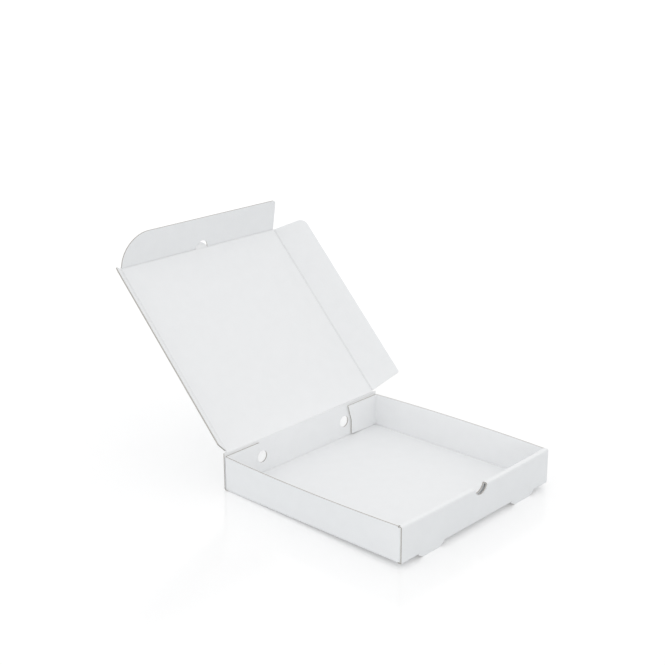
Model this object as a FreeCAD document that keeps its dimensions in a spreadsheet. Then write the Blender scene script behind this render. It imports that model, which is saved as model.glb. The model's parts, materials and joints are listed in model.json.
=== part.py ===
import FreeCAD, Part
import Sketcher
import math
import os
import re

# A small pizza box with its lid open: one folded sheet of fluted board.
# Frame: X to the right along the front wall, Y from the front wall to the hinge, Z up.
# The origin is the middle of the base, on its underside.

doc = FreeCAD.newDocument("pizza_box")
sheet = doc.addObject("Spreadsheet::Sheet", "Sizes")

# Lengths are in millimetres and angles in degrees.
sizes = {
    # tray
    "width": 243.0,
    "depth": 243.0,
    "front_height": 39.6,
    "side_drop": 0.6,
    "lid_seat_gap": 1.4,
    "board": 1.5,
    "fold_radius": 0.5,
    "fold_lap": 1.0,
    "ply_gap": 0.2,
    # folded front wall
    "front_thickness": 6.0,
    "notch_radius": 10.0,
    "notch_rise": 0.5,
    "foot_offset": 76.0,
    "foot_width": 40.0,
    "foot_drop": 4.0,
    "foot_slant": 7.0,
    "foot_corner": 1.8,
    "slot_clearance": 0.5,
    # corner flaps and vents
    "corner_flap_foot": 44.3,
    "corner_flap_top": 50.2,
    "corner_flap_bend": 19.6,
    "foot_relief": 1.0,
    "relief_length": 18.0,
    "vent_offset": 66.0,
    "vent_radius": 6.8,
    "vent_height": 20.9,
    # lid and its flaps
    "crease_round": 0.7,
    "hinge_gap": 0.3,
    "crease_gap": 0.4,
    "side_clearance": 1.0,
    "front_clearance": 0.65,
    "floor_clearance": 1.2,
    "tab_radius": 8.8,
    "tab_clearance": 0.4,
    "flap_front_start": 0.6,
    "flap_front_slant": 7.8,
    "flap_rear_start": 2.7,
    "flap_rear_slant": 2.0,
    "flap_front_corner": 10.0,
    "flap_rear_corner": 2.0,
    "tuck_end_start": 1.0,
    "tuck_end_slant": 2.5,
    "tuck_curve": 34.0,
    "tuck_corner": 5.0,
    # how far the photograph shows each crease folded
    "lid_angle": 46.5,
    "side_flap_angle": 46.5,
    "tuck_flap_angle": 55.5,
}

for row, (name, number) in enumerate(sizes.items(), start=1):
    sheet.set(f"A{row}", name)
    sheet.set(f"B{row}", str(number))
    sheet.setAlias(f"B{row}", name)
doc.recompute()

# Places that several pieces share, as formulas of the sizes.
fold_out = "(fold_radius + board)"
side_top = "(front_height - side_drop)"
hinge_y = "(depth / 2 - board / 2)"
hinge_z = "(front_height + lid_seat_gap + board / 2)"
ply_foot = "(board + ply_gap)"
flap_plane = "(depth / 2 - board - ply_gap)"
fold_start = f"({flap_plane} - {fold_out} - fold_lap)"
front_roll_y = f"(front_thickness - depth / 2 - {fold_out} - fold_lap)"
inner_ply_y = "(front_thickness - depth / 2)"
inner_width = "(width - 2 * board - 2 * ply_gap)"
lid_half = "(width / 2 - 2 * board - side_clearance)"
lid_length = f"({hinge_y} + depth / 2 - front_thickness - board - front_clearance)"
flap_height = f"({hinge_z} - board / 2 - board - floor_clearance)"


def cells(formula):
    """Turn a formula's names of sizes into the sheet's cells."""
    return re.sub(r"\b(" + "|".join(sizes) + r")\b", r"Sizes.\1", formula)


def value(formula):
    return float(sheet.evalExpression(cells(formula)))


def mirrored(points):
    """The same outline on the other side of the sketch's upright axis."""
    return [("-(" + point[0] + ")",) + tuple(point[1:]) for point in points]


def sketch_on(body, role, name, offset="0"):
    """A sketch on one of the body's own planes, moved along that plane's normal."""
    plane = next(item for item in body.Origin.OriginFeatures if item.Role == role)
    sketch = body.newObject("Sketcher::SketchObject", name)
    sketch.AttachmentSupport = (plane, "")
    sketch.MapMode = "FlatFace"
    if offset != "0":
        sketch.setExpression("AttachmentOffset.Base.z", cells(offset))
    return sketch


def pin_point(sketch, geometry, end, across, up):
    """Hold a point at its distances from the sketch's origin."""
    for kind, formula in (("DistanceX", across), ("DistanceY", up)):
        index = sketch.addConstraint(
            Sketcher.Constraint(kind, -1, 1, geometry, end, value(formula)))
        sketch.setExpression(f"Constraints[{index}]", cells(formula))


def outline(sketch, points):
    """Draw a closed outline through corners (across, up) or rounded ones (across, up, radius)."""
    count = len(points)
    spots = [FreeCAD.Vector(value(point[0]), value(point[1]), 0) for point in points]
    radii = [value(point[2]) if len(point) == 3 else 0.0 for point in points]
    ways = [(spots[(i + 1) % count] - spots[i]).normalize() for i in range(count)]
    halves = [(-ways[i - 1]).getAngle(ways[i]) / 2 for i in range(count)]
    reach = [radii[i] / math.tan(halves[i]) for i in range(count)]
    lines = []
    for i in range(count):
        following = (i + 1) % count
        start = spots[i] + ways[i] * reach[i]
        end = spots[following] - ways[i] * reach[following]
        lines.append(sketch.addGeometry(Part.LineSegment(start, end)))
    for i in range(count):
        before, after = lines[i - 1], lines[i]
        if radii[i] == 0:
            sketch.addConstraint(Sketcher.Constraint("Coincident", before, 2, after, 1))
            pin_point(sketch, after, 1, points[i][0], points[i][1])
        else:
            round_corner(sketch, before, after, spots[i], ways[i - 1], ways[i], halves[i], points[i])


def round_corner(sketch, before, after, spot, arriving, leaving, half, point):
    """Join two lines by a tangent arc and hold the corner where they would meet."""
    radius = value(point[2])
    inward = (leaving - arriving).normalize()
    centre = spot + inward * (radius / math.sin(half))
    reach = radius / math.tan(half)
    first = spot - arriving * reach - centre
    last = spot + leaving * reach - centre
    turns_left = arriving.cross(leaving).z > 0
    if not turns_left:
        first, last = last, first
    start_angle = math.atan2(first.y, first.x)
    end_angle = math.atan2(last.y, last.x)
    circle = Part.Circle(centre, FreeCAD.Vector(0, 0, 1), radius)
    arc = sketch.addGeometry(Part.ArcOfCircle(circle, start_angle, end_angle))
    corner = sketch.addGeometry(Part.Point(spot), True)
    arrive_end, leave_end = (1, 2) if turns_left else (2, 1)
    sketch.addConstraint(Sketcher.Constraint("Tangent", before, 2, arc, arrive_end))
    sketch.addConstraint(Sketcher.Constraint("Tangent", arc, leave_end, after, 1))
    sketch.addConstraint(Sketcher.Constraint("PointOnObject", corner, 1, before))
    sketch.addConstraint(Sketcher.Constraint("PointOnObject", corner, 1, after))
    index = sketch.addConstraint(Sketcher.Constraint("Radius", arc, radius))
    sketch.setExpression(f"Constraints[{index}]", cells(point[2]))
    pin_point(sketch, corner, 1, point[0], point[1])


def disc(sketch, across, up, radius):
    """Draw a circle held by its centre and its radius."""
    centre = FreeCAD.Vector(value(across), value(up), 0)
    circle = Part.Circle(centre, FreeCAD.Vector(0, 0, 1), value(radius))
    geometry = sketch.addGeometry(circle)
    index = sketch.addConstraint(Sketcher.Constraint("Radius", geometry, value(radius)))
    sketch.setExpression(f"Constraints[{index}]", cells(radius))
    pin_point(sketch, geometry, 3, across, up)


def rectangle(sketch, left, right, low, high):
    outline(sketch, [(left, low), (right, low), (right, high), (left, high)])


def feature(body, kind, sketch, name, length, side="One side", reverse=False):
    """Pad or pocket a sketch by a length, along its normal for a pad and against it for a pocket."""
    step = body.newObject("PartDesign::" + kind, name)
    step.Profile = sketch
    step.SideType = side
    step.Reversed = reverse
    step.setExpression("Length", cells(length))
    doc.recompute()
    return step


def add_base_and_sides(tray):
    """The base with the two side walls folded up from it."""
    sketch = sketch_on(tray, "XZ_Plane", "side_profile")
    right = [
        ("width / 2", "0", fold_out),
        ("width / 2", side_top),
        ("width / 2 - board", side_top),
        ("width / 2 - board", "board", "fold_radius"),
    ]
    left = [mirrored([point])[0] for point in reversed(right)]
    outline(sketch, right + left)
    feature(tray, "Pad", sketch, "base_and_sides", f"2 * {fold_start}", "Symmetric")


def corner_bend(sketch, x_sign, y_sign):
    """The plan of one side wall's end where it turns along the front or back wall."""
    turn_end = f"(width / 2 - {fold_out} - fold_lap)"
    corners = [
        ("width / 2", fold_start),
        ("width / 2", flap_plane, fold_out),
        (turn_end, flap_plane),
        (turn_end, f"({flap_plane} - board)"),
        ("(width / 2 - board)", f"({flap_plane} - board)", "fold_radius"),
        ("(width / 2 - board)", fold_start),
    ]
    signed = []
    for corner in corners:
        place = (f"({x_sign} * {corner[0]})", f"({y_sign} * {corner[1]})")
        signed.append(place + tuple(corner[2:]))
    outline(sketch, signed)


def add_corner_flaps(tray, name, y_sign, top, reverse):
    """The side walls' ends, folded in along the front or back wall, with their ends cut on a bend."""
    bends = sketch_on(tray, "XY_Plane", name + "_bend_plan", ply_foot)
    for x_sign in (1, -1):
        corner_bend(bends, x_sign, y_sign)
    feature(tray, "Pad", bends, name + "_bends", f"{top} - {ply_foot}")
    face = sketch_on(tray, "XZ_Plane", name + "_flap_face", f"-{y_sign} * {flap_plane}")
    right = [
        (f"(width / 2 - {fold_out} - fold_lap)", ply_foot),
        (f"(width / 2 - {fold_out} - fold_lap)", top),
        ("(width / 2 - corner_flap_top)", top),
        ("(width / 2 - corner_flap_foot)", "corner_flap_bend"),
        ("(width / 2 - corner_flap_foot)", f"({ply_foot} + foot_relief)"),
        ("(width / 2 - corner_flap_foot + relief_length)", ply_foot),
    ]
    outline(face, right)
    outline(face, mirrored(right))
    feature(tray, "Pad", face, name + "_flaps", "board", reverse=reverse)


def add_back_wall(tray):
    """The back wall, up to the crease that the lid turns on, with a vent near each end."""
    profile = sketch_on(tray, "YZ_Plane", "back_profile")
    top = f"({hinge_z} + board / 2)"
    outline(profile, [
        (fold_start, "0"),
        ("depth / 2", "0", fold_out),
        ("depth / 2", top, "crease_round"),
        ("depth / 2 - board", top, "crease_round"),
        ("depth / 2 - board", "board", "fold_radius"),
        (fold_start, "board"),
    ])
    feature(tray, "Pad", profile, "back_wall", "width", "Symmetric")
    holes = sketch_on(tray, "XZ_Plane", "vent_circles", f"-{hinge_y}")
    for side in ("vent_offset", "-vent_offset"):
        disc(holes, side, "vent_height", "vent_radius")
    feature(tray, "Pocket", holes, "vents", "board * 2", "Symmetric")


def cut_lock_slots(tray):
    """Two slots through the base's front fold, for the lock tabs and the feet."""
    plan = sketch_on(tray, "XY_Plane", "slot_plan")
    back = f"({inner_ply_y} + slot_clearance)"
    right = [
        ("foot_offset - foot_width / 2", "-(depth / 2 + board)"),
        ("foot_offset + foot_width / 2", "-(depth / 2 + board)"),
        ("foot_offset + foot_width / 2", back),
        ("foot_offset - foot_width / 2", back),
    ]
    outline(plan, right)
    outline(plan, mirrored(right))
    feature(tray, "Pocket", plan, "lock_slots", ply_foot, reverse=True)


def add_front_wall(tray):
    """The front wall, rolled over at the top and down again inside."""
    outer = sketch_on(tray, "YZ_Plane", "front_outer_profile")
    outline(outer, [
        (f"-{fold_start}", "0"),
        (f"-{fold_start}", "board"),
        ("-(depth / 2 - board)", "board", "fold_radius"),
        ("-(depth / 2 - board)", "(front_height - board)", "fold_radius"),
        (front_roll_y, "(front_height - board)"),
        (front_roll_y, "front_height"),
        ("-(depth / 2)", "front_height", fold_out),
        ("-(depth / 2)", "0", fold_out),
    ])
    feature(tray, "Pad", outer, "front_outer_ply", "width", "Symmetric")
    cut_lock_slots(tray)
    inner = sketch_on(tray, "YZ_Plane", "front_inner_profile")
    outline(inner, [
        (front_roll_y, "(front_height - board)"),
        (f"({inner_ply_y} - board)", "(front_height - board)", "fold_radius"),
        (f"({inner_ply_y} - board)", ply_foot),
        (inner_ply_y, ply_foot),
        (inner_ply_y, "front_height", fold_out),
        (front_roll_y, "front_height"),
    ])
    feature(tray, "Pad", inner, "front_inner_ply", inner_width, "Symmetric")


def add_feet_and_lock_tabs(tray):
    """The feet that hang from the outer ply, and the inner ply's tabs in the slots."""
    overlap = f"({ply_foot} + fold_lap)"
    feet = sketch_on(tray, "XZ_Plane", "foot_face", "depth / 2")
    right = [
        ("(foot_offset - foot_width / 2)", overlap),
        ("(foot_offset - foot_width / 2)", "0"),
        ("(foot_offset - foot_width / 2 + foot_slant)", "-foot_drop", "foot_corner"),
        ("(foot_offset + foot_width / 2 - foot_slant)", "-foot_drop", "foot_corner"),
        ("(foot_offset + foot_width / 2)", "0"),
        ("(foot_offset + foot_width / 2)", overlap),
    ]
    outline(feet, right)
    outline(feet, mirrored(right))
    feature(tray, "Pad", feet, "feet", "board", reverse=True)
    tabs = sketch_on(tray, "XZ_Plane", "lock_tab_face", f"-{inner_ply_y}")
    right = [
        ("(foot_offset - foot_width / 2 + slot_clearance)", overlap),
        ("(foot_offset - foot_width / 2 + slot_clearance)", "0"),
        ("(foot_offset + foot_width / 2 - slot_clearance)", "0"),
        ("(foot_offset + foot_width / 2 - slot_clearance)", overlap),
    ]
    outline(tabs, right)
    outline(tabs, mirrored(right))
    feature(tray, "Pad", tabs, "lock_tabs", "board")


def cut_thumb_notch(tray):
    """A half-moon through both plies of the front wall, under the lid's tab."""
    sketch = sketch_on(tray, "XZ_Plane", "notch_circle", "depth / 2 + board")
    disc(sketch, "0", "front_height + notch_rise", "notch_radius")
    feature(tray, "Pocket", sketch, "thumb_notch", "front_thickness + 2 * board")


def make_tray():
    tray = doc.addObject("PartDesign::Body", "tray")
    add_base_and_sides(tray)
    add_corner_flaps(tray, "rear", 1, side_top, False)
    add_corner_flaps(tray, "front", -1, "(front_height - board - ply_gap)", True)
    add_back_wall(tray)
    add_front_wall(tray)
    add_feet_and_lock_tabs(tray)
    cut_thumb_notch(tray)
    return tray


def make_lid():
    """The lid panel: its own origin is on the hinge, Y leads to its front edge, Z points inside."""
    lid = doc.addObject("PartDesign::Body", "lid")
    panel = sketch_on(lid, "XY_Plane", "lid_outline")
    side = f"({lid_half} - crease_gap / 2)"
    rectangle(panel, f"-{side}", side, "board / 2 + hinge_gap", f"{lid_length} - crease_gap / 2")
    feature(lid, "Pad", panel, "lid_panel", "board", "Symmetric")
    tab = sketch_on(lid, "XY_Plane", "finger_tab_circle")
    disc(tab, "0", f"{lid_length} - crease_gap / 2", "tab_radius")
    feature(lid, "Pad", tab, "finger_tab", "board", "Symmetric")
    lid.setExpression("Placement", cells(
        f"placement(vector(0; {hinge_y}; {hinge_z}); rotation(vector(1; 0; 0); lid_angle))"))
    return lid


def make_side_flap(name, x_sign):
    """A side flap: its own origin is on the crease at the lid's inner face."""
    flap = doc.addObject("PartDesign::Body", name)
    sketch = sketch_on(flap, "XY_Plane", name + "_outline")
    front = f"({lid_length} - flap_front_start)"
    rear_out = "(flap_rear_start + flap_rear_slant)"
    points = [
        ("(crease_gap / 2)", "flap_rear_start"),
        (flap_height, rear_out, "flap_rear_corner"),
        (flap_height, f"({front} - flap_front_slant)", "flap_front_corner"),
        ("(crease_gap / 2)", front),
    ]
    outline(sketch, points if x_sign > 0 else mirrored(points))
    feature(flap, "Pad", sketch, name + "_panel", "board", reverse=True)
    flap.setExpression("Placement", "lid.Placement * " + cells(
        f"placement(vector({x_sign} * {lid_half}; 0; board / 2);"
        f" rotation(vector(0; 1; 0); {-x_sign} * side_flap_angle))"))
    return flap


def make_tuck_flap():
    """The front flap, round at its left end and square at its right one."""
    flap = doc.addObject("PartDesign::Body", "tuck_flap")
    sketch = sketch_on(flap, "XY_Plane", "tuck_outline")
    foot = f"({lid_half} - tuck_end_start)"
    top = f"({lid_half} - tuck_end_start - tuck_end_slant)"
    outline(sketch, [
        (f"-{foot}", "crease_gap / 2"),
        (foot, "crease_gap / 2"),
        (top, flap_height, "tuck_corner"),
        (f"-{top}", flap_height, "tuck_curve"),
    ])
    feature(flap, "Pad", sketch, "tuck_panel", "board", reverse=True)
    hole = sketch_on(flap, "XY_Plane", "tab_hole_circle")
    disc(hole, "0", "0", "tab_radius + tab_clearance")
    feature(flap, "Pocket", hole, "tab_hole", "board")
    flap.setExpression("Placement", "lid.Placement * " + cells(
        f"placement(vector(0; {lid_length}; board / 2);"
        f" rotation(vector(1; 0; 0); tuck_flap_angle))"))
    return flap


pieces = [
    make_tray(),
    make_lid(),
    make_side_flap("lid_flap_left", -1),
    make_side_flap("lid_flap_right", 1),
    make_tuck_flap(),
]
doc.recompute()

for item in doc.Objects:
    for state in ("Invalid", "Error"):
        if state in item.State:
            raise RuntimeError(f"{item.Label} is {state}")

os.makedirs("parts", exist_ok=True)
for piece in pieces:
    shape = piece.Shape
    if shape.isNull() or not shape.isValid() or len(shape.Solids) != 1:
        raise RuntimeError(f"{piece.Label} isn't one valid solid")
    shape.exportStep(f"parts/{piece.Label}.step")
    print(f"{piece.Label}: {shape.Volume:.0f} cubic mm, {len(shape.Faces)} faces")
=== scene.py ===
import bmesh
import bpy
import json
import math
from mathutils import Matrix, Vector
from mathutils.bvhtree import BVHTree


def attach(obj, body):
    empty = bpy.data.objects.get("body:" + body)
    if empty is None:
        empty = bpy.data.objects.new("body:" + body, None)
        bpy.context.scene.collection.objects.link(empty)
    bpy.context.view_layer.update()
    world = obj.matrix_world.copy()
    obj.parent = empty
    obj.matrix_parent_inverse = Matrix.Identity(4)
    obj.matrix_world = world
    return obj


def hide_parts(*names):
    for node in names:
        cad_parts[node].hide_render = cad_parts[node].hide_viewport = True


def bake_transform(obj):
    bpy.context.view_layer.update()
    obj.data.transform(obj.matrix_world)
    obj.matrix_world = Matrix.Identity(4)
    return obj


# A small white pizza box of E-flute board, standing with its lid open. Everything is in metres.

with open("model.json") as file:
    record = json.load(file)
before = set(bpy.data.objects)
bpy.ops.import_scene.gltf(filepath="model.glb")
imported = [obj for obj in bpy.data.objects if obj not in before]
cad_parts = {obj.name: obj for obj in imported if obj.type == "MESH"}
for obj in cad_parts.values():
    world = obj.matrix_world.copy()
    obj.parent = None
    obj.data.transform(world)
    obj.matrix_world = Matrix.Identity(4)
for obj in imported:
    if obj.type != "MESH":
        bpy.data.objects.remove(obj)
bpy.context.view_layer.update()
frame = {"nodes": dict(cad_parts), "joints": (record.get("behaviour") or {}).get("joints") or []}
print("frame loaded:", ", ".join(sorted(frame["nodes"])))

mm = 0.001
scene = bpy.context.scene
joints = {joint["name"]: joint for joint in frame["joints"]}

board = {
    "thickness": 1.5 * mm,
    "flutePitch": 3.3 * mm,      # E flute, crest to crest
    "ior": 1.48,                 # paper and its clay coating
    "lip": 0.24 * mm,            # the paper left standing at each side of a cut edge
    "recess": 0.22 * mm,         # how far the die pushes the flutes back between them
    "thinnestCut": 3.0 * mm,     # with more board than this behind it, a face is a cut edge
    "underCut": 0.4 * mm,        # how deep below a cut edge its thickness is measured
    "cellSize": 9.0 * mm,        # panels are cut into cells of about this size, to bend softly
    "scoreReach": 2.0 * mm,      # how far from a fold the score and its painted crease shade reach
    "flatAngle": 0.3,            # degrees; the CAD's faces within this become one
    "sharpAngle": 24.0,          # degrees; a steeper edge is shaded sharp
    "weld": 0.002 * mm,          # points nearer than this are one
    "rayStart": 0.005 * mm,      # how far under a surface a measuring ray starts
}


# materials

def linear(hexColour):
    channels = [int(hexColour[i:i + 2], 16) / 255 for i in (1, 3, 5)]
    return tuple(c / 12.92 if c <= 0.04045 else ((c + 0.055) / 1.055) ** 2.4 for c in channels) + (1.0,)


def addNode(tree, kind, links=None, **settings):
    node = tree.nodes.new(kind)
    for name, value in settings.items():
        setattr(node, name, value)
    for socket, source in (links or {}).items():
        if isinstance(source, bpy.types.NodeSocket):
            tree.links.new(source, node.inputs[socket])
        else:
            node.inputs[socket].default_value = source
    return node


def newMaterial(name):
    material = bpy.data.materials.new(name)
    material.use_nodes = True
    tree = material.node_tree
    tree.nodes.clear()
    return material, tree


def finishMaterial(tree, shader):
    addNode(tree, "ShaderNodeOutputMaterial", {"Surface": shader})


def bandScale(period):
    return 2 * math.pi / (20 * period)      # Blender's wave texture turns 20 radians a unit


whiteLiner = {
    "name": "clayCoatedWhiteLiner",
    "light": "#F2F3F4",
    "dark": "#F0F1F2",
    "darkFrom": (0.14, 0.38),    # how much cloud and fibre it takes to darken
    "cloud": 14 * mm,            # cloudy formation of the paper
    "fibre": 0.9 * mm,           # drawn twice as coarse as real, to show at all
    "washboard": 0.012 * mm,     # how deep the flutes print through the liner
    "fibreDepth": 0.010 * mm,
    "cockle": 38 * mm,           # soft waves left by drying
    "cockleDepth": 0.012 * mm,
    "roughness": (0.46, 0.58),
    "scoreAndShade": "#CDCDCE",         # painted crease shade: the grey laid along a fold's line for the shade in the crease
    "creaseShadeShare": 0.22,          # how much of that painted shade shows on a fold's line
    "scoreDepth": 0.08 * mm,
}


def makeWhiteLiner(look):
    # White clay-coated paper on corrugated board: nearly flat white, a soft sheen at low
    # angles, faint clouds of fibre, the flutes just printing through, and painted shade along the
    # folds.
    material, tree = newMaterial(look["name"])
    place = addNode(tree, "ShaderNodeTexCoord").outputs["Object"]
    sheetUv = addNode(tree, "ShaderNodeUVMap", uv_map="sheetUv").outputs["UV"]
    cloud = addNode(tree, "ShaderNodeTexNoise", {
        "Vector": place, "Scale": 1 / look["cloud"], "Detail": 3.0, "Roughness": 0.55})
    fibre = addNode(tree, "ShaderNodeTexNoise", {
        "Vector": place, "Scale": 1 / look["fibre"], "Detail": 2.0, "Roughness": 0.6})
    cockle = addNode(tree, "ShaderNodeTexNoise", {
        "Vector": place, "Scale": 1 / look["cockle"], "Detail": 1.0, "Roughness": 0.4})
    flutes = addNode(tree, "ShaderNodeTexWave", {
        "Vector": sheetUv, "Scale": bandScale(board["flutePitch"])},
        wave_type="BANDS", bands_direction="X", wave_profile="SIN")
    blotch = addNode(tree, "ShaderNodeMath", {
        0: cloud.outputs["Fac"], 1: fibre.outputs["Fac"]}, operation="MULTIPLY")
    spread = addNode(tree, "ShaderNodeMapRange", {
        "Value": blotch.outputs[0],
        "From Min": look["darkFrom"][0], "From Max": look["darkFrom"][1]})
    colour = addNode(tree, "ShaderNodeMix", {
        "Factor": spread.outputs["Result"], 6: linear(look["light"]), 7: linear(look["dark"])},
        data_type="RGBA")
    # painted shade: near a fold's line the white is mixed towards the grey, for the shade in the crease
    scoreAndShade = addNode(tree, "ShaderNodeAttribute", attribute_name="scoreAndShade").outputs["Fac"]
    creaseShadeAmount = addNode(tree, "ShaderNodeMath", {0: scoreAndShade, 1: look["creaseShadeShare"]}, operation="MULTIPLY")
    colour = addNode(tree, "ShaderNodeMix", {
        "Factor": creaseShadeAmount.outputs[0], 6: colour.outputs[2], 7: linear(look["scoreAndShade"])},
        data_type="RGBA")
    rough = addNode(tree, "ShaderNodeMapRange", {
        "Value": fibre.outputs["Fac"], "From Min": 0.3, "From Max": 0.7,
        "To Min": look["roughness"][0], "To Max": look["roughness"][1]})
    heights = [
        (scoreAndShade, -look["scoreDepth"]),
        (cockle.outputs["Fac"], look["cockleDepth"]),
        (flutes.outputs["Fac"], look["washboard"]),
        (fibre.outputs["Fac"], look["fibreDepth"]),
    ]
    normal = None
    for height, depth in heights:
        bump = addNode(tree, "ShaderNodeBump", {"Height": height, "Strength": 1.0, "Distance": depth})
        if normal:
            tree.links.new(normal, bump.inputs["Normal"])
        normal = bump.outputs["Normal"]
    shader = addNode(tree, "ShaderNodeBsdfPrincipled", {
        "Base Color": colour.outputs[2], "Roughness": rough.outputs["Result"],
        "IOR": board["ior"], "Normal": normal})
    finishMaterial(tree, shader.outputs["BSDF"])
    return material


cutPaper = {
    "name": "cutLinerPaper",
    "light": "#E8E7E4",
    "dark": "#D1CFCB",
    "fray": 0.7 * mm,
    "frayDepth": 0.03 * mm,
    "roughness": 0.8,
}


def makeCutPaper(look):
    # The cut end of a liner: uncoated paper pulp, a little grey and furry.
    material, tree = newMaterial(look["name"])
    place = addNode(tree, "ShaderNodeTexCoord").outputs["Object"]
    fray = addNode(tree, "ShaderNodeTexNoise", {
        "Vector": place, "Scale": 1 / look["fray"], "Detail": 3.0, "Roughness": 0.7})
    colour = addNode(tree, "ShaderNodeMix", {
        "Factor": fray.outputs["Fac"], 6: linear(look["light"]), 7: linear(look["dark"])},
        data_type="RGBA")
    bump = addNode(tree, "ShaderNodeBump", {
        "Height": fray.outputs["Fac"], "Strength": 1.0, "Distance": look["frayDepth"]})
    shader = addNode(tree, "ShaderNodeBsdfPrincipled", {
        "Base Color": colour.outputs[2], "Roughness": look["roughness"],
        "IOR": board["ior"], "Normal": bump.outputs["Normal"]})
    finishMaterial(tree, shader.outputs["BSDF"])
    return material


flutedCore = {
    "name": "crushedFlutedMedium",
    "paper": "#C9C6C1",
    # painted shade: the hollows beside the wavy medium, darker for the shade inside them
    "gap": "#8A8680",
    "waveHeight": 0.42 * mm,     # from the middle of the board to a flute's crest
    "paperHalf": 0.13 * mm,      # half of the medium's thickness
    "soft": 0.12 * mm,           # over which the paper fades into the gap
    "gapDepth": 0.15 * mm,
    "fray": 0.6 * mm,
    "roughness": 0.9,
}


def makeFlutedCore(look):
    # Looking into a cut edge: the dull grey wave of recycled paper, with painted shade in the hollow
    # gaps beside it.
    material, tree = newMaterial(look["name"])
    place = addNode(tree, "ShaderNodeTexCoord").outputs["Object"]
    sheetUv = addNode(tree, "ShaderNodeUVMap", uv_map="sheetUv")
    parts = addNode(tree, "ShaderNodeSeparateXYZ", {"Vector": sheetUv.outputs["UV"]})
    turn = addNode(tree, "ShaderNodeMath", {
        0: parts.outputs["X"], 1: 2 * math.pi / board["flutePitch"]}, operation="MULTIPLY")
    wave = addNode(tree, "ShaderNodeMath", {0: turn.outputs[0]}, operation="SINE")
    middle = addNode(tree, "ShaderNodeMath", {
        0: wave.outputs[0], 1: look["waveHeight"]}, operation="MULTIPLY")
    away = addNode(tree, "ShaderNodeMath", {
        0: parts.outputs["Y"], 1: middle.outputs[0]}, operation="SUBTRACT")
    distance = addNode(tree, "ShaderNodeMath", {0: away.outputs[0]}, operation="ABSOLUTE")
    shade = addNode(tree, "ShaderNodeMapRange", {
        "Value": distance.outputs[0], "From Min": look["paperHalf"],
        "From Max": look["paperHalf"] + look["soft"]})
    fray = addNode(tree, "ShaderNodeTexNoise", {
        "Vector": place, "Scale": 1 / look["fray"], "Detail": 3.0, "Roughness": 0.7})
    frayed = addNode(tree, "ShaderNodeMath", {
        0: shade.outputs["Result"], 1: fray.outputs["Fac"]}, operation="MULTIPLY")
    # painted shade: away from the medium's wave the colour turns to the gap's darker grey
    colour = addNode(tree, "ShaderNodeMix", {
        "Factor": frayed.outputs[0], 6: linear(look["paper"]), 7: linear(look["gap"])},
        data_type="RGBA")
    bump = addNode(tree, "ShaderNodeBump", {
        "Height": shade.outputs["Result"], "Strength": 1.0, "Distance": -look["gapDepth"]})
    shader = addNode(tree, "ShaderNodeBsdfPrincipled", {
        "Base Color": colour.outputs[2], "Roughness": look["roughness"],
        "IOR": board["ior"], "Normal": bump.outputs["Normal"]})
    finishMaterial(tree, shader.outputs["BSDF"])
    return material


boardMaterials = [makeWhiteLiner(whiteLiner), makeCutPaper(cutPaper), makeFlutedCore(flutedCore)]
linerSlot, lipSlot, coreSlot = 0, 1, 2
print("materials made")


# panels: the CAD's shapes, with cut edges, soft bows and the sheet's own pattern

def panelPlace(origin, along, inside):
    # A frame on a panel: X across, Y along the flutes, Z out of its inner face.
    yAxis = Vector(along).normalized()
    zAxis = Vector(inside).normalized()
    xAxis = yAxis.cross(zAxis)
    turn = Matrix((xAxis, yAxis, zAxis)).transposed().to_4x4()
    return Matrix.Translation(Vector(origin)) @ turn


def placeAxes(place):
    turn = place.to_3x3().transposed()
    return [Vector(turn[0]), Vector(turn[1]), Vector(turn[2])]


def innerNormal(nodeName, towards):
    # The direction of a flat panel's inner face, found from its largest face.
    largest = max(frame["nodes"][nodeName].data.polygons, key=lambda face: face.area)
    normal = largest.normal.copy()
    return normal if normal.dot(towards) > 0 else -normal


def copiedMesh(nodeName):
    bm = bmesh.new()
    bm.from_mesh(frame["nodes"][nodeName].data)
    bmesh.ops.remove_doubles(bm, verts=bm.verts, dist=board["weld"])
    bmesh.ops.dissolve_limit(
        bm, angle_limit=math.radians(board["flatAngle"]), verts=bm.verts, edges=bm.edges)
    return bm


def cutAcross(bm, place, axis, offset):
    normal = placeAxes(place)[axis]
    bmesh.ops.bisect_plane(
        bm, geom=bm.verts[:] + bm.edges[:] + bm.faces[:], dist=board["weld"] / 2,
        plane_co=place.translation + normal * offset, plane_no=normal)


def cutIntoCells(bm, place, axes):
    inverse = place.inverted()
    local = [inverse @ vert.co for vert in bm.verts]
    for axis in axes:
        low = min(point[axis] for point in local)
        high = max(point[axis] for point in local)
        count = max(2, round((high - low) / board["cellSize"]))
        for step in range(1, count):
            cutAcross(bm, place, axis, low + (high - low) * step / count)


def cutBesideFolds(bm, place, folds):
    for fold in folds:
        for axis, at in fold:
            for offset in (at - board["scoreReach"], at + board["scoreReach"]):
                cutAcross(bm, place, axis, offset)


def markFolds(bm, place, folds):
    # 1 on a fold's line, down to 0 where the score's strip ends; the mark sets the score's bump and the
    # painted crease shade.
    layer = bm.verts.layers.float.new("scoreAndShade")
    inverse = place.inverted()
    for vert in bm.verts:
        point = inverse @ vert.co
        for fold in folds:
            away = math.hypot(*(point[axis] - at for axis, at in fold))
            vert[layer] = max(vert[layer], 1 - away / board["scoreReach"])


def faceCentres(bm):
    # A point inside each face, also where the face is L-shaped.
    best = {}
    for corners in bm.calc_loop_triangles():
        a, b, c = [loop.vert.co for loop in corners]
        area = (b - a).cross(c - a).length
        face = corners[0].face
        if area > best.get(face, (0.0, None))[0]:
            best[face] = (area, (a + b + c) / 3)
    return {face: found[1] for face, found in best.items()}


def depthBehind(tree, point, direction):
    # How much board a ray goes through before it comes out.
    distance = tree.ray_cast(point + direction * board["rayStart"], direction)[3]
    return distance or 0.0


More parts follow.
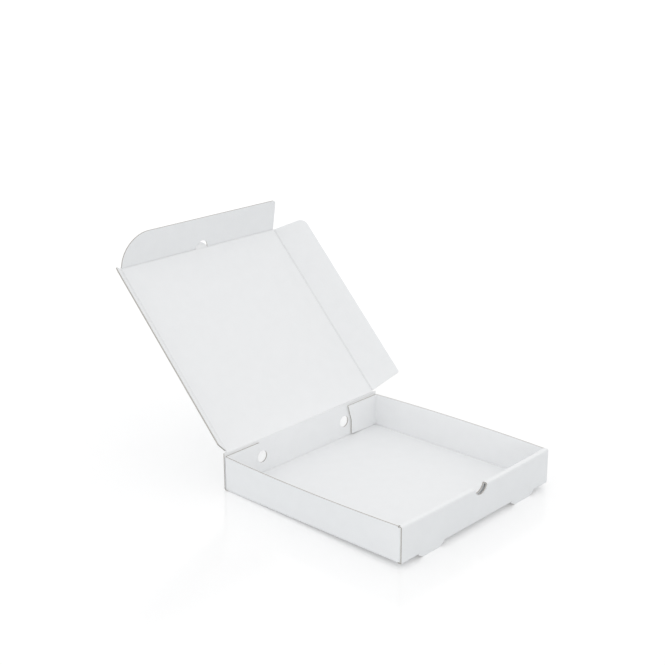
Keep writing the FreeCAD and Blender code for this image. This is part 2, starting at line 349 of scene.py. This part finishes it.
def findCutFaces(bm, tree, isCrease):
    found = []
    for face, centre in faceCentres(bm).items():
        if depthBehind(tree, centre, -face.normal) > board["thinnestCut"]:
            if not isCrease(centre):
                found.append(face)
    return found


def thinDirection(tree, centre, normal, place):
    # Across the board's thickness, as seen on a cut edge.
    start = centre - normal * board["underCut"]
    inPlane = sorted(placeAxes(place), key=lambda axis: abs(axis.dot(normal)))[:2]
    widths = [depthBehind(tree, start, axis) + depthBehind(tree, start, -axis) for axis in inPlane]
    return inPlane[widths.index(min(widths))]


def layPattern(bm, tree, place, fluteAcross):
    # One map for the whole sheet: U counts across the flutes, V along them or through a cut edge.
    layer = bm.loops.layers.uv.new("sheetUv")
    inverse = place.inverted()
    for face, centre in faceCentres(bm).items():
        across = fluteAcross(inverse @ centre)
        if face.material_index == coreSlot:
            thin = thinDirection(tree, centre, face.normal, place)
            heights = [loop.vert.co.dot(thin) for loop in face.loops]
            middle = (min(heights) + max(heights)) / 2
            for loop, height in zip(face.loops, heights):
                loop[layer].uv = ((inverse @ loop.vert.co)[across], height - middle)
        else:
            for loop in face.loops:
                point = inverse @ loop.vert.co
                loop[layer].uv = (point[across], point.y)


def markSharpEdges(bm):
    for face in bm.faces:
        face.smooth = True
    for edge in bm.edges:
        if len(edge.link_faces) != 2:
            continue
        first, second = edge.link_faces
        turned = edge.calc_face_angle(0.0) > math.radians(board["sharpAngle"])
        edge.smooth = not (turned or first.material_index != second.material_index)


def finishPanel(bm, name, body, replaced=()):
    markSharpEdges(bm)
    mesh = bpy.data.meshes.new(name)
    bm.to_mesh(mesh)
    bm.free()
    piece = bpy.data.objects.new(name, mesh)
    scene.collection.objects.link(piece)
    for material in boardMaterials:
        mesh.materials.append(material)
    weighted = piece.modifiers.new("flatFacesFirst", "WEIGHTED_NORMAL")
    weighted.keep_sharp = True
    weighted.weight = 100
    if body:
        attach(piece, body)
    if replaced:
        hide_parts(*replaced)
    return piece


def dressPanel(nodeName, name, place, axes, isCrease, fluteAcross, folds, bend=None):
    bm = copiedMesh(nodeName)
    tree = BVHTree.FromBMesh(bm)
    cutIntoCells(bm, place, axes)
    cutBesideFolds(bm, place, folds)
    bm.normal_update()
    cutFaces = findCutFaces(bm, tree, isCrease)
    ring = bmesh.ops.inset_region(
        bm, faces=cutFaces, thickness=board["lip"], depth=-board["recess"],
        use_boundary=True, use_even_offset=False)["faces"]
    for face in bm.faces:
        face.material_index = linerSlot
    for face in ring:
        face.material_index = lipSlot
    for face in cutFaces:
        if face.is_valid:
            face.material_index = coreSlot
    bm.normal_update()
    layPattern(bm, tree, place, fluteAcross)
    markFolds(bm, place, folds)
    if bend:
        inverse = place.inverted()
        for vert in bm.verts:
            vert.co = place @ bend(inverse @ vert.co)
    piece = finishPanel(bm, name, nodeName, [nodeName])
    print(name, len(piece.data.polygons), "faces")


# the tray

tray = {
    "half": 121.5 * mm,
    "height": 39.6 * mm,
    "sideBow": 4.0 * mm,         # the side walls belly out half way along, at the top
    "sideDepth": 4 * mm,         # what lies within this of a side's outside bends with it
    "frontBow": 1.8 * mm,
    "frontDepth": 8 * mm,
    "bowRise": 1.4,              # over 1, most of the bow is near the top
    "bowEnd": 2 * mm,            # how far before a corner the bow has died out
    "sideWall": 2.2 * mm,        # a face this near to a side's outside is the side wall's
    "sideFoot": 2 * mm,          # if it is above this
    "cornerFlap": (118.1 * mm, 119.95 * mm),    # how far front or back the corner flaps lie
    "flapFoot": 1.6 * mm,
}


def trayBend(point):
    x, y, z = point
    rise = max(0.0, min(1.0, (z - board["thickness"]) / (tray["height"] - board["thickness"])))
    lift = rise ** tray["bowRise"]
    reach = tray["half"] - tray["bowEnd"]
    moved = Vector(point)
    if abs(x) > tray["half"] - tray["sideDepth"]:
        share = max(0.0, 1 - (y / reach) ** 2)
        moved.x += math.copysign(tray["sideBow"] * share * lift, x)
    if y < -(tray["half"] - tray["frontDepth"]):
        share = max(0.0, 1 - (x / reach) ** 2)
        moved.y -= tray["frontBow"] * share * lift
    return moved


def trayFlutes(point):
    # The flutes run from front to back on the flat sheet, so up the front and back walls.
    low, high = tray["cornerFlap"]
    onSide = abs(point.x) > tray["half"] - tray["sideWall"] and point.z > tray["sideFoot"]
    onFlap = low < abs(point.y) < high and point.z > tray["flapFoot"]
    return 2 if onSide or onFlap else 0


def nothingFolded(centre):
    return False


def trayFolds():
    # The inner corners where the side walls and the back wall stand up from the base.
    inner = tray["half"] - board["thickness"]
    low = board["thickness"]
    return [((0, inner), (2, low)), ((0, -inner), (2, low)), ((1, inner), (2, low))]


dressPanel(
    "tray", "foldedTray", Matrix.Identity(4), (0, 1, 2), nothingFolded, trayFlutes,
    trayFolds(), trayBend)


# the lid and its flaps

lidJoint = joints["lid_hinge"]
tuckJoint = joints["tuck_fold"]
hingeLine = Vector(lidJoint["pos_m"])
acrossAxis = Vector((1.0, 0.0, 0.0))
alongLid = Vector(joints["left_flap_fold"]["axis"]).normalized()
insideLid = acrossAxis.cross(alongLid).normalized()
if insideLid.dot(Vector((0, -1, 0))) < 0:
    insideLid.negate()

lid = {
    "half": 117.5 * mm,          # out to the side creases
    "length": 234.1 * mm,        # out to the tuck crease
    "hingeEnd": 1.05 * mm,       # the panel starts this far from the hinge line
    "creaseHalfGap": 0.2 * mm,   # what the CAD leaves free at each side of a crease
    "creaseSteps": 8,
    "tab": 8.8 * mm,             # the finger tab's radius
    "play": 0.05 * mm,           # a face this near to a crease belongs to it
}
lidPlace = panelPlace(hingeLine, alongLid, insideLid)


def lidCreases(centre):
    point = lidPlace.inverted() @ centre
    gap = lid["creaseHalfGap"]
    onSide = abs(point.x) > lid["half"] - 2 * gap
    atHinge = point.y < lid["hingeEnd"] + gap
    besideTab = abs(point.x) > lid["tab"]
    atTuck = abs(point.y - lid["length"] + gap) < lid["play"] and besideTab
    return onSide or atHinge or atTuck


def acrossX(point):
    return 0


lidFolds = [((0, lid["half"]),), ((0, -lid["half"]),), ((1, lid["length"]),)]
dressPanel("lid", "lidPanel", lidPlace, (0, 1), lidCreases, acrossX, lidFolds)

sideFlap = {
    "rearStart": 2.7 * mm,       # its crease's two ends, measured from the hinge line
    "frontStart": 233.5 * mm,
}


def flapCreases(place):
    inverse = place.inverted()

    def atCrease(centre):
        return abs((inverse @ centre).x) < lid["creaseHalfGap"] + 2 * lid["play"]
    return atCrease


for nodeName, side, pieceName in (
        ("lid_flap_left", "left_flap_fold", "leftLidFlap"),
        ("lid_flap_right", "right_flap_fold", "rightLidFlap")):
    joint = joints[side]
    inside = innerNormal(nodeName, insideLid)
    flapPlace = panelPlace(joint["pos_m"], alongLid, inside)
    dressPanel(
        nodeName, pieceName, flapPlace, (0, 1), flapCreases(flapPlace), acrossX, [((0, 0.0),)])

tuckFlap = {
    "foot": 116.5 * mm,          # half of its width at the crease
    "hole": 9.2 * mm,            # the radius that the finger tab leaves in it
}
tuckInside = innerNormal("tuck_flap", insideLid)
tuckAlong = tuckInside.cross(acrossAxis).normalized()
if tuckAlong.dot(alongLid) < 0:
    tuckAlong.negate()
tuckPlace = panelPlace(tuckJoint["pos_m"], tuckAlong, tuckInside)


def tuckCreases(centre):
    point = tuckPlace.inverted() @ centre
    besideHole = abs(point.x) > tuckFlap["hole"] - lid["play"]
    return point.y < lid["creaseHalfGap"] + lid["play"] and besideHole


dressPanel("tuck_flap", "tuckFlapPanel", tuckPlace, (0, 1), tuckCreases, acrossX, [((1, 0.0),)])


# creases: the same board bent between two panels

def strip(corners):
    bm = bmesh.new()
    verts = [bm.verts.new(corner) for corner in corners]
    bm.faces.new(verts)
    return bm


def extrudeFaces(bm, faces, way):
    grown = bmesh.ops.extrude_face_region(bm, geom=faces)["geom"]
    moved = [item for item in grown if isinstance(item, bmesh.types.BMVert)]
    bmesh.ops.translate(bm, verts=moved, vec=way)
    return [item for item in grown if isinstance(item, bmesh.types.BMFace)]


def spinFaces(bm, faces, centre, axis, angle, steps):
    spun = bmesh.ops.spin(
        bm, geom=faces, cent=centre, axis=axis, angle=angle, steps=steps,
        use_merge=False, use_duplicate=False)["geom_last"]
    return [item for item in spun if isinstance(item, bmesh.types.BMFace)]


def inFixedOrder(bm):
    # The operators above number points and faces anew in each run, so both are sorted by place.
    ordered = bmesh.new()
    made = {}
    for vert in sorted(bm.verts, key=lambda vert: vert.co.to_tuple(6)):
        made[vert] = ordered.verts.new(vert.co)
    ordered.verts.index_update()
    faces = []
    for face in bm.faces:
        corners = [made[vert] for vert in face.verts]
        first = corners.index(min(corners, key=lambda vert: vert.index))
        faces.append(corners[first:] + corners[:first])
    for corners in sorted(faces, key=lambda corners: [vert.index for vert in corners]):
        ordered.faces.new(corners)
    bm.free()
    ordered.normal_update()
    return ordered


def creasePiece(bm, name, place, scoreAndShade):
    bmesh.ops.remove_doubles(bm, verts=bm.verts, dist=2 * board["weld"])
    bmesh.ops.recalc_face_normals(bm, faces=bm.faces)
    bm = inFixedOrder(bm)
    for face in bm.faces:
        face.material_index = linerSlot
    layer = bm.loops.layers.uv.new("sheetUv")
    inverse = place.inverted()
    for face in bm.faces:
        for loop in face.loops:
            point = inverse @ loop.vert.co
            loop[layer].uv = (point.x, point.y)
    # the whole crease carries the fold mark at this strength: the score's bump and the painted crease
    # shade
    mark = bm.verts.layers.float.new("scoreAndShade")
    for vert in bm.verts:
        vert[mark] = scoreAndShade
    piece = finishPanel(bm, name, None)
    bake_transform(piece)


def wedge(runs, axisPoint, axis, out, lidNormal, bendAngle, flapOut):
    # Start from the lid's end face, then turn it round the crease up to the flap.
    joined = bmesh.new()
    gap = lid["creaseHalfGap"]
    depth = board["thickness"]
    for low, high in runs:
        corners = []
        for along, down in ((low, 0), (high, 0), (high, depth), (low, depth)):
            corners.append(axisPoint + axis * along - out * gap - lidNormal * down)
        bm = strip(corners)
        faces = extrudeFaces(bm, bm.faces[:], out * gap)
        faces = spinFaces(bm, faces, axisPoint, axis, bendAngle, lid["creaseSteps"])
        extrudeFaces(bm, faces, flapOut * gap)
        part = bpy.data.meshes.new("part")
        bm.to_mesh(part)
        bm.free()
        joined.from_mesh(part)
        bpy.data.meshes.remove(part)
    return joined


def signedAngle(first, second, axis):
    return math.atan2(axis.dot(first.cross(second)), first.dot(second))


for nodeName, side, pieceName, sign in (
        ("lid_flap_left", "left_flap_fold", "leftFlapCrease", -1),
        ("lid_flap_right", "right_flap_fold", "rightFlapCrease", 1)):
    axisPoint = Vector(joints[side]["pos_m"])
    inside = innerNormal(nodeName, insideLid)
    out = acrossAxis * sign
    bendAngle = signedAngle(insideLid, inside, alongLid)
    flapOut = Matrix.Rotation(bendAngle, 3, alongLid) @ out
    bm = wedge([(sideFlap["rearStart"], sideFlap["frontStart"])], axisPoint, alongLid, out,
               insideLid, bendAngle, flapOut)
    creasePiece(bm, pieceName,
                lidPlace, 1.0)

tuckAngle = signedAngle(insideLid, tuckInside, acrossAxis)
tuckAxisPoint = Vector(tuckJoint["pos_m"])
bm = wedge([(-tuckFlap["foot"], -tuckFlap["hole"]), (tuckFlap["hole"], tuckFlap["foot"])],
           tuckAxisPoint, acrossAxis, alongLid, insideLid, tuckAngle, tuckAlong)
creasePiece(bm, "tuckFlapCrease",
            lidPlace, 1.0)

hingeCrease = {
    "proud": 0.02 * mm,          # how far it stands out of the panels that it joins
    "radius": 1.2 * mm,          # at the middle of the board
    "below": 0.8 * mm,           # how far down the back wall it starts
    "above": 1.3 * mm,           # how far up the lid it ends
    "steps": 8,
}


def makeHingeCrease(look):
    half = board["thickness"] / 2 + look["proud"]
    lean = math.acos(max(-1.0, min(1.0, alongLid.z)))
    reach = look["radius"] * math.tan(lean / 2)
    foot = hingeLine - Vector((0, 0, look["below"]))
    corners = []
    for x, y in ((-1, -half), (1, -half), (1, half), (-1, half)):
        corners.append(foot + Vector((x * lid["half"], y, 0)))
    bm = strip(corners)
    faces = extrudeFaces(bm, bm.faces[:], Vector((0, 0, look["below"] - reach)))
    centre = hingeLine + Vector((0, look["radius"], -reach))
    faces = spinFaces(bm, faces, centre, (1, 0, 0), -lean, look["steps"])
    extrudeFaces(bm, faces, alongLid * (look["above"] - reach))
    creasePiece(bm, "hingeCrease",
                lidPlace, 0.0)


makeHingeCrease(hingeCrease)
print("creases made")


# floor, light and camera

floor = {
    "name": "whiteTable",
    "size": 60.0,
    "seen": "#D7D7D7",           # its own colour for the camera
    "bounce": "#EBEEF0",         # what the floor sends back on to the box, a little cool
    "roughness": 0.13,
    "ior": 1.9,                  # over a glossy laminate's 1.6, so that the corners mirror
    "lift": 0.30,                # white that is added for the camera alone
    "below": 0.02 * mm,          # so that the feet don't sink into it
    "rearEdge": (121.5 * mm, 0.0),
    "feet": (-121.5 * mm, -4.0 * mm),
}


def makeFloor(look):
    # The box rests on its two feet and its rear edge, so the floor leans by under a degree.
    rear, feet = look["rearEdge"], look["feet"]
    tilt = math.atan2(rear[1] - feet[1], rear[0] - feet[0])
    bm = bmesh.new()
    height = (rear[1] + feet[1]) / 2 - look["below"]
    bmesh.ops.create_grid(bm, x_segments=1, y_segments=1, size=look["size"] / 2)
    bmesh.ops.transform(
        bm, matrix=Matrix.Translation((0, 0, height)) @ Matrix.Rotation(tilt, 4, "X"),
        verts=bm.verts)
    mesh = bpy.data.meshes.new("floor")
    bm.to_mesh(mesh)
    bm.free()
    piece = bpy.data.objects.new("floor", mesh)
    scene.collection.objects.link(piece)
    material, tree = newMaterial(look["name"])
    path = addNode(tree, "ShaderNodeLightPath")
    seen = path.outputs["Is Camera Ray"]
    lift = addNode(tree, "ShaderNodeMath", {0: seen, 1: look["lift"]}, operation="MULTIPLY")
    colour = addNode(tree, "ShaderNodeMix", {
        "Factor": seen, 6: linear(look["bounce"]), 7: linear(look["seen"])}, data_type="RGBA")
    shader = addNode(tree, "ShaderNodeBsdfPrincipled", {
        "Base Color": colour.outputs[2], "Roughness": look["roughness"], "IOR": look["ior"],
        "Emission Color": (1, 1, 1, 1), "Emission Strength": lift.outputs[0]})
    finishMaterial(tree, shader.outputs["BSDF"])
    mesh.materials.append(material)


makeFloor(floor)

light = {
    "worldStrength": 0.98,
    "worldColour": "#FFFFFF",
    "aim": (0.0, 0.0, 0.04),
    "panels": (
        # name, place, width and height, watts
        ("keyPanel", (-1.6, -0.8, 0.9), (1.8, 1.8), 0.95),
        ("lowPanel", (-1.2, 0.1, 0.05), (0.6, 0.09), 0.6),      # skims the left wall
    ),
}


def makeLight(look):
    world = bpy.data.worlds.new("softBox")
    scene.world = world
    world.use_nodes = True
    tree = world.node_tree
    tree.nodes.clear()
    path = addNode(tree, "ShaderNodeLightPath")
    soft = addNode(tree, "ShaderNodeBackground", {
        "Color": linear(look["worldColour"]), "Strength": look["worldStrength"]})
    white = addNode(tree, "ShaderNodeBackground", {"Color": (1, 1, 1, 1), "Strength": 1.0})
    seen = addNode(tree, "ShaderNodeMath", {
        0: path.outputs["Is Camera Ray"], 1: path.outputs["Is Glossy Ray"]}, operation="MAXIMUM")
    mix = addNode(tree, "ShaderNodeMixShader", {
        0: seen.outputs[0], 1: soft.outputs[0], 2: white.outputs[0]})
    addNode(tree, "ShaderNodeOutputWorld", {"Surface": mix.outputs[0]})
    for name, place, size, power in look["panels"]:
        lamp = bpy.data.lights.new(name, "AREA")
        lamp.shape = "RECTANGLE"
        lamp.size, lamp.size_y = size
        lamp.energy = power
        panel = bpy.data.objects.new(name, lamp)
        panel.location = place
        way = Vector(look["aim"]) - Vector(place)
        panel.rotation_euler = way.to_track_quat("-Z", "Y").to_euler()
        scene.collection.objects.link(panel)


makeLight(light)

view = {
    "place": (-0.974, -0.818, 0.603),
    "azimuth": 47.42,            # from the hinge's direction towards the right
    "down": 18.69,               # degrees below level
    "roll": -0.22,
    "lens": 71.05,
}


def makeCamera(look):
    camera = bpy.data.cameras.new("camera")
    camera.lens = look["lens"]
    camera.sensor_width = 36
    camera.clip_end = 50
    holder = bpy.data.objects.new("camera", camera)
    turn = (Matrix.Rotation(math.radians(-look["azimuth"]), 4, "Z")
            @ Matrix.Rotation(math.radians(90 - look["down"]), 4, "X")
            @ Matrix.Rotation(math.radians(look["roll"]), 4, "Z"))
    holder.matrix_world = Matrix.Translation(look["place"]) @ turn
    scene.collection.objects.link(holder)
    scene.camera = holder


makeCamera(view)
scene.view_settings.view_transform = "Standard"
print("floor, light and camera made")
